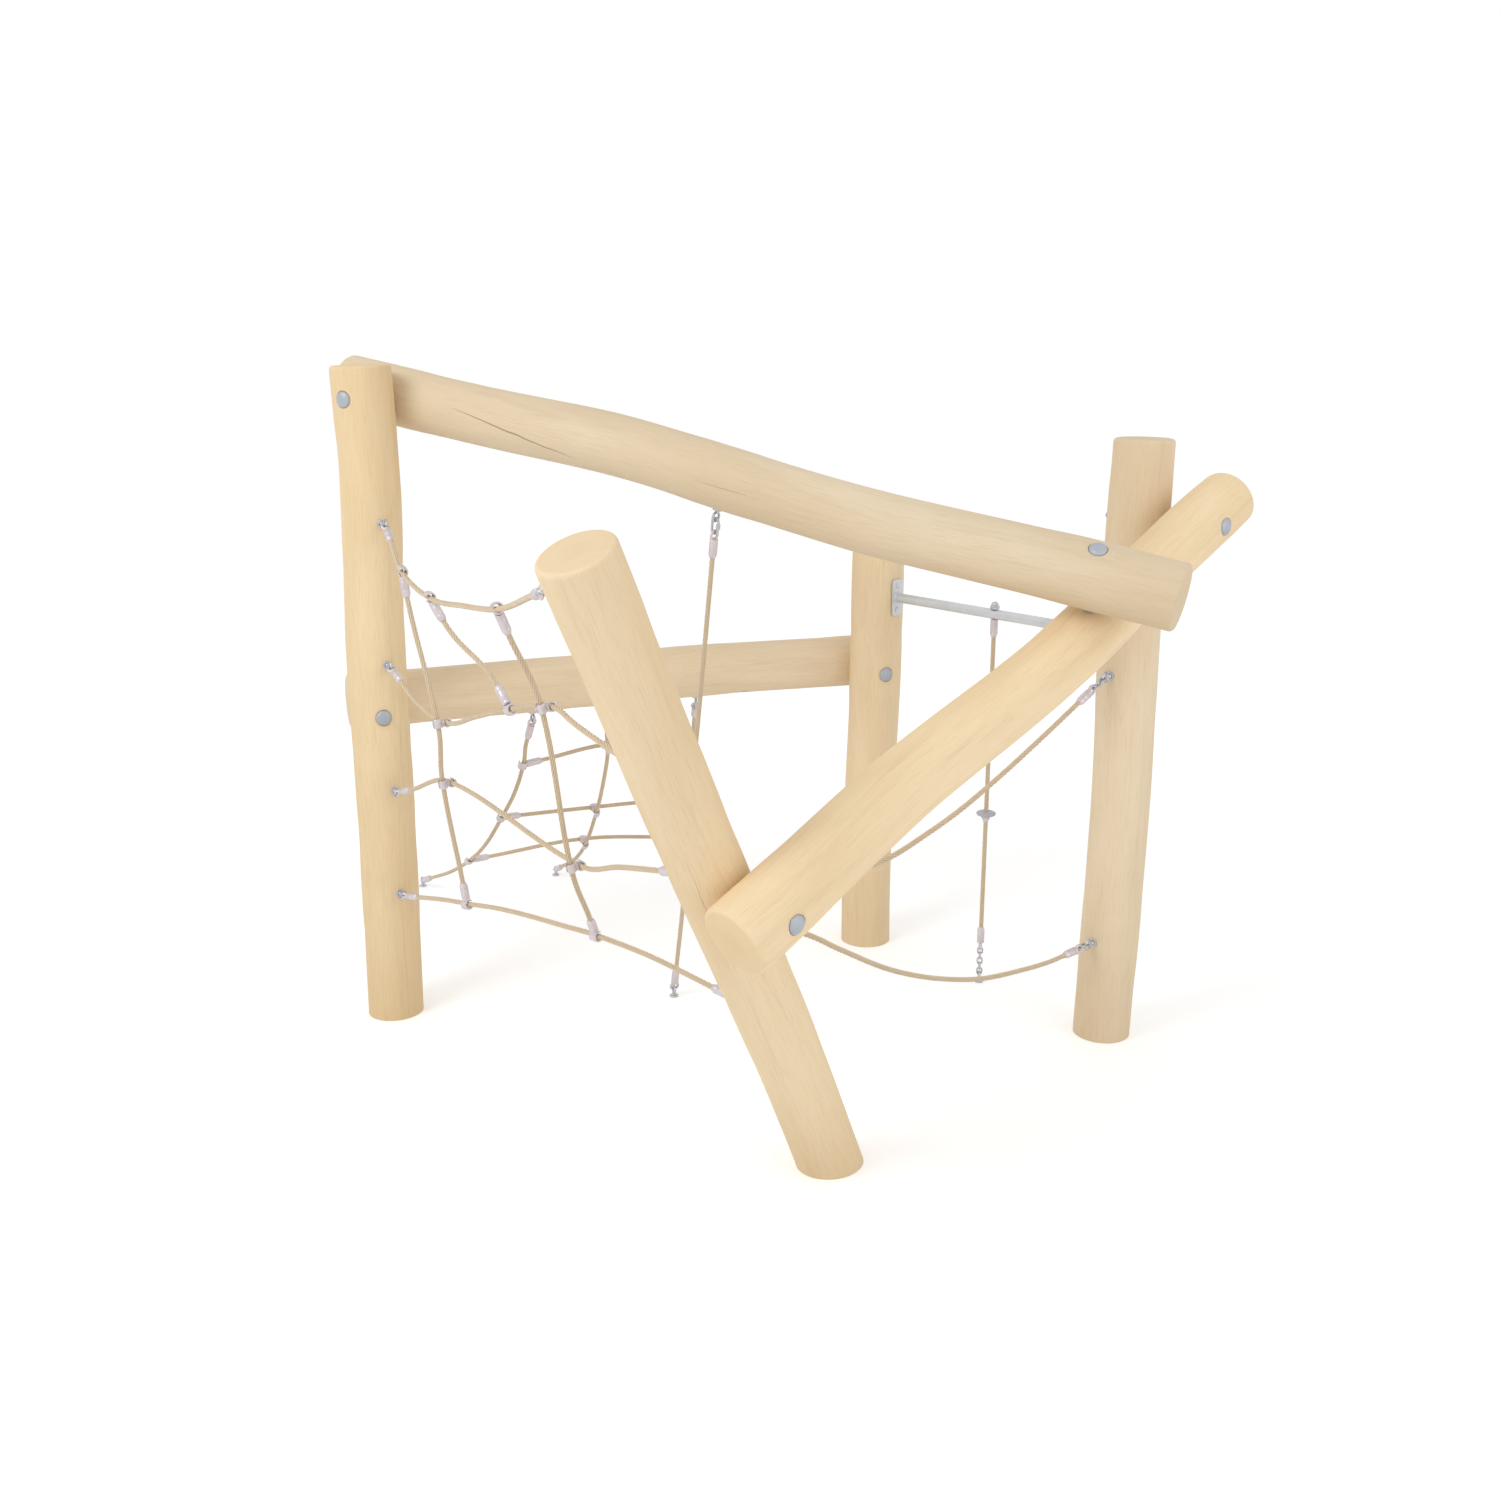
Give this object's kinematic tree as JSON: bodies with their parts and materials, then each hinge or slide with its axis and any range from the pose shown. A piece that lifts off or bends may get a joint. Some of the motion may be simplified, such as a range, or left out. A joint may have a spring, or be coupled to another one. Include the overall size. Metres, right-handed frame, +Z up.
{
  "type": "four-sided climbing net",
  "caption": "Four-sided climbing frame of round robinia logs with a near rope net, a sloping rear net, two slack ropes, a taut middle rope and a disc rope.",
  "frame": {"origin": "on the ground, below the middle of the object's overall outline", "axes": "+Z up; +Y away from the picture's viewer, towards the rear ground anchors; +X to the viewer's right"},
  "size_m": [2.8763, 3.225, 2.1735],
  "materials": {
    "log_wood": "peeled and sanded log, left untreated",
    "steel": "bare metal, dull",
    "rope": "laid fibre rope over a steel core, with pressed aluminium fittings",
    "disc_plastic": "moulded, matt"
  },
  "bodies": {
    "frame": {"anchor_disc": "steel", "anchor_middle": "steel", "anchor_rear_1": "steel", "anchor_rear_2": "steel", "anchor_rear_3": "steel", "beam_diagonal": "log_wood", "beam_rear": "log_wood", "beam_top": "log_wood", "bolt_diagonal_high": "steel", "bolt_diagonal_low": "steel", "bolt_rear_left": "steel", "bolt_rear_right": "steel", "bolt_top_left": "steel", "bolt_top_right": "steel", "crossbar": "steel", "disc_rope": "rope", "disc_rope_chain": "steel", "eye_front_1": "steel", "eye_front_2": "steel", "eye_front_3": "steel", "eye_front_4": "steel", "eye_front_5": "steel", "eye_front_6": "steel", "eye_left_1": "steel", "eye_left_2": "steel", "eye_left_3": "steel", "eye_left_4": "steel", "eye_rear_1": "steel", "eye_rear_2": "steel", "eye_rear_3": "steel", "eye_right_1": "steel", "eye_right_2": "steel", "eye_top_beam": "steel", "middle_rope": "rope", "middle_rope_link": "steel", "net_bottom": "rope", "net_column_1": "rope", "net_column_2": "rope", "net_column_3": "rope", "net_row_1": "rope", "net_row_2": "rope", "net_top": "rope", "post_front": "log_wood", "post_left": "log_wood", "post_rear": "log_wood", "post_right": "log_wood", "rear_net_column_1": "rope", "rear_net_column_2": "rope", "rear_net_column_3": "rope", "rear_net_row_1": "rope", "rear_net_row_2": "rope", "rear_net_row_3": "rope", "spacer_right_post": "steel", "spacer_top_beam": "steel", "stud_nut": "steel"},
    "upper_slack_rope": {"slack_rope_upper": "rope", "slack_upper_chain": "steel"},
    "lower_slack_rope": {"slack_rope_lower": "rope", "slack_lower_link": "steel"},
    "disc": {"foot_disc": "disc_plastic"}
  },
  "joints": [
    {"name": "upper_slack_rope_swing", "type": "hinge", "parent": "frame", "child": "upper_slack_rope", "pos_m": [-0.0153, -1.0992, 0.9012], "axis": [0.7166, 0.6626, 0.2177], "range_deg": [-24, 24]},
    {"name": "lower_slack_rope_swing", "type": "hinge", "parent": "frame", "child": "lower_slack_rope", "pos_m": [0.0243, -1.0575, 0.7819], "axis": [0.7006, 0.6446, -0.3061], "range_deg": [-30, 30]},
    {"name": "disc_spin", "type": "hinge", "parent": "frame", "child": "disc", "pos_m": [0.7684, 0.3548, 0.632], "axis": [0, 0, 1], "continuous": true}
  ]
}
